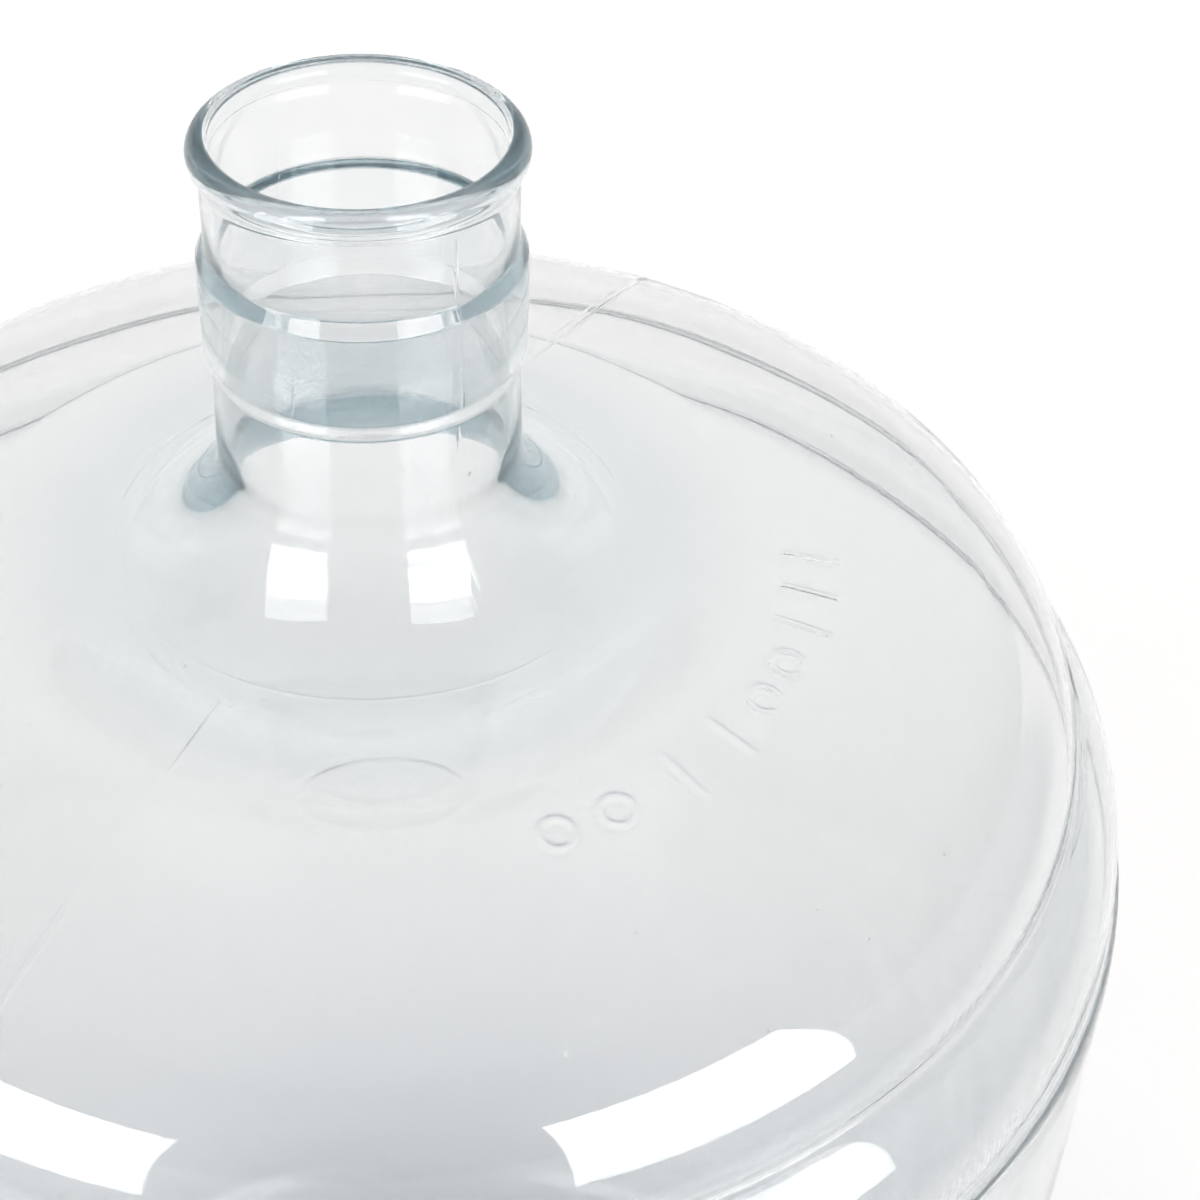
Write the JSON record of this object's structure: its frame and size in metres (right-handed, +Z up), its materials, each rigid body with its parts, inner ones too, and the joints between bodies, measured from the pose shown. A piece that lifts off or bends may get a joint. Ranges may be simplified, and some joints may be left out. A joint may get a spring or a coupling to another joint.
{
  "type": "carboy",
  "caption": "Clear blown plastic carboy of about 23 litres with a short bored neck, a shallow domed shoulder and stepped grooves",
  "frame": {"origin": "centre of the standing ring, on the floor that the bottle stands on", "axes": "+Z up and along the bottle's axis, -Y the front with the plain oval, +X to the right seen from the front"},
  "size_m": [0.2887, 0.2888, 0.47],
  "materials": {
    "clear_shell": "water-clear blown PET, glossy inside and out"
  },
  "bodies": {
    "root": {"carboy": "clear_shell"}
  },
  "joints": []
}
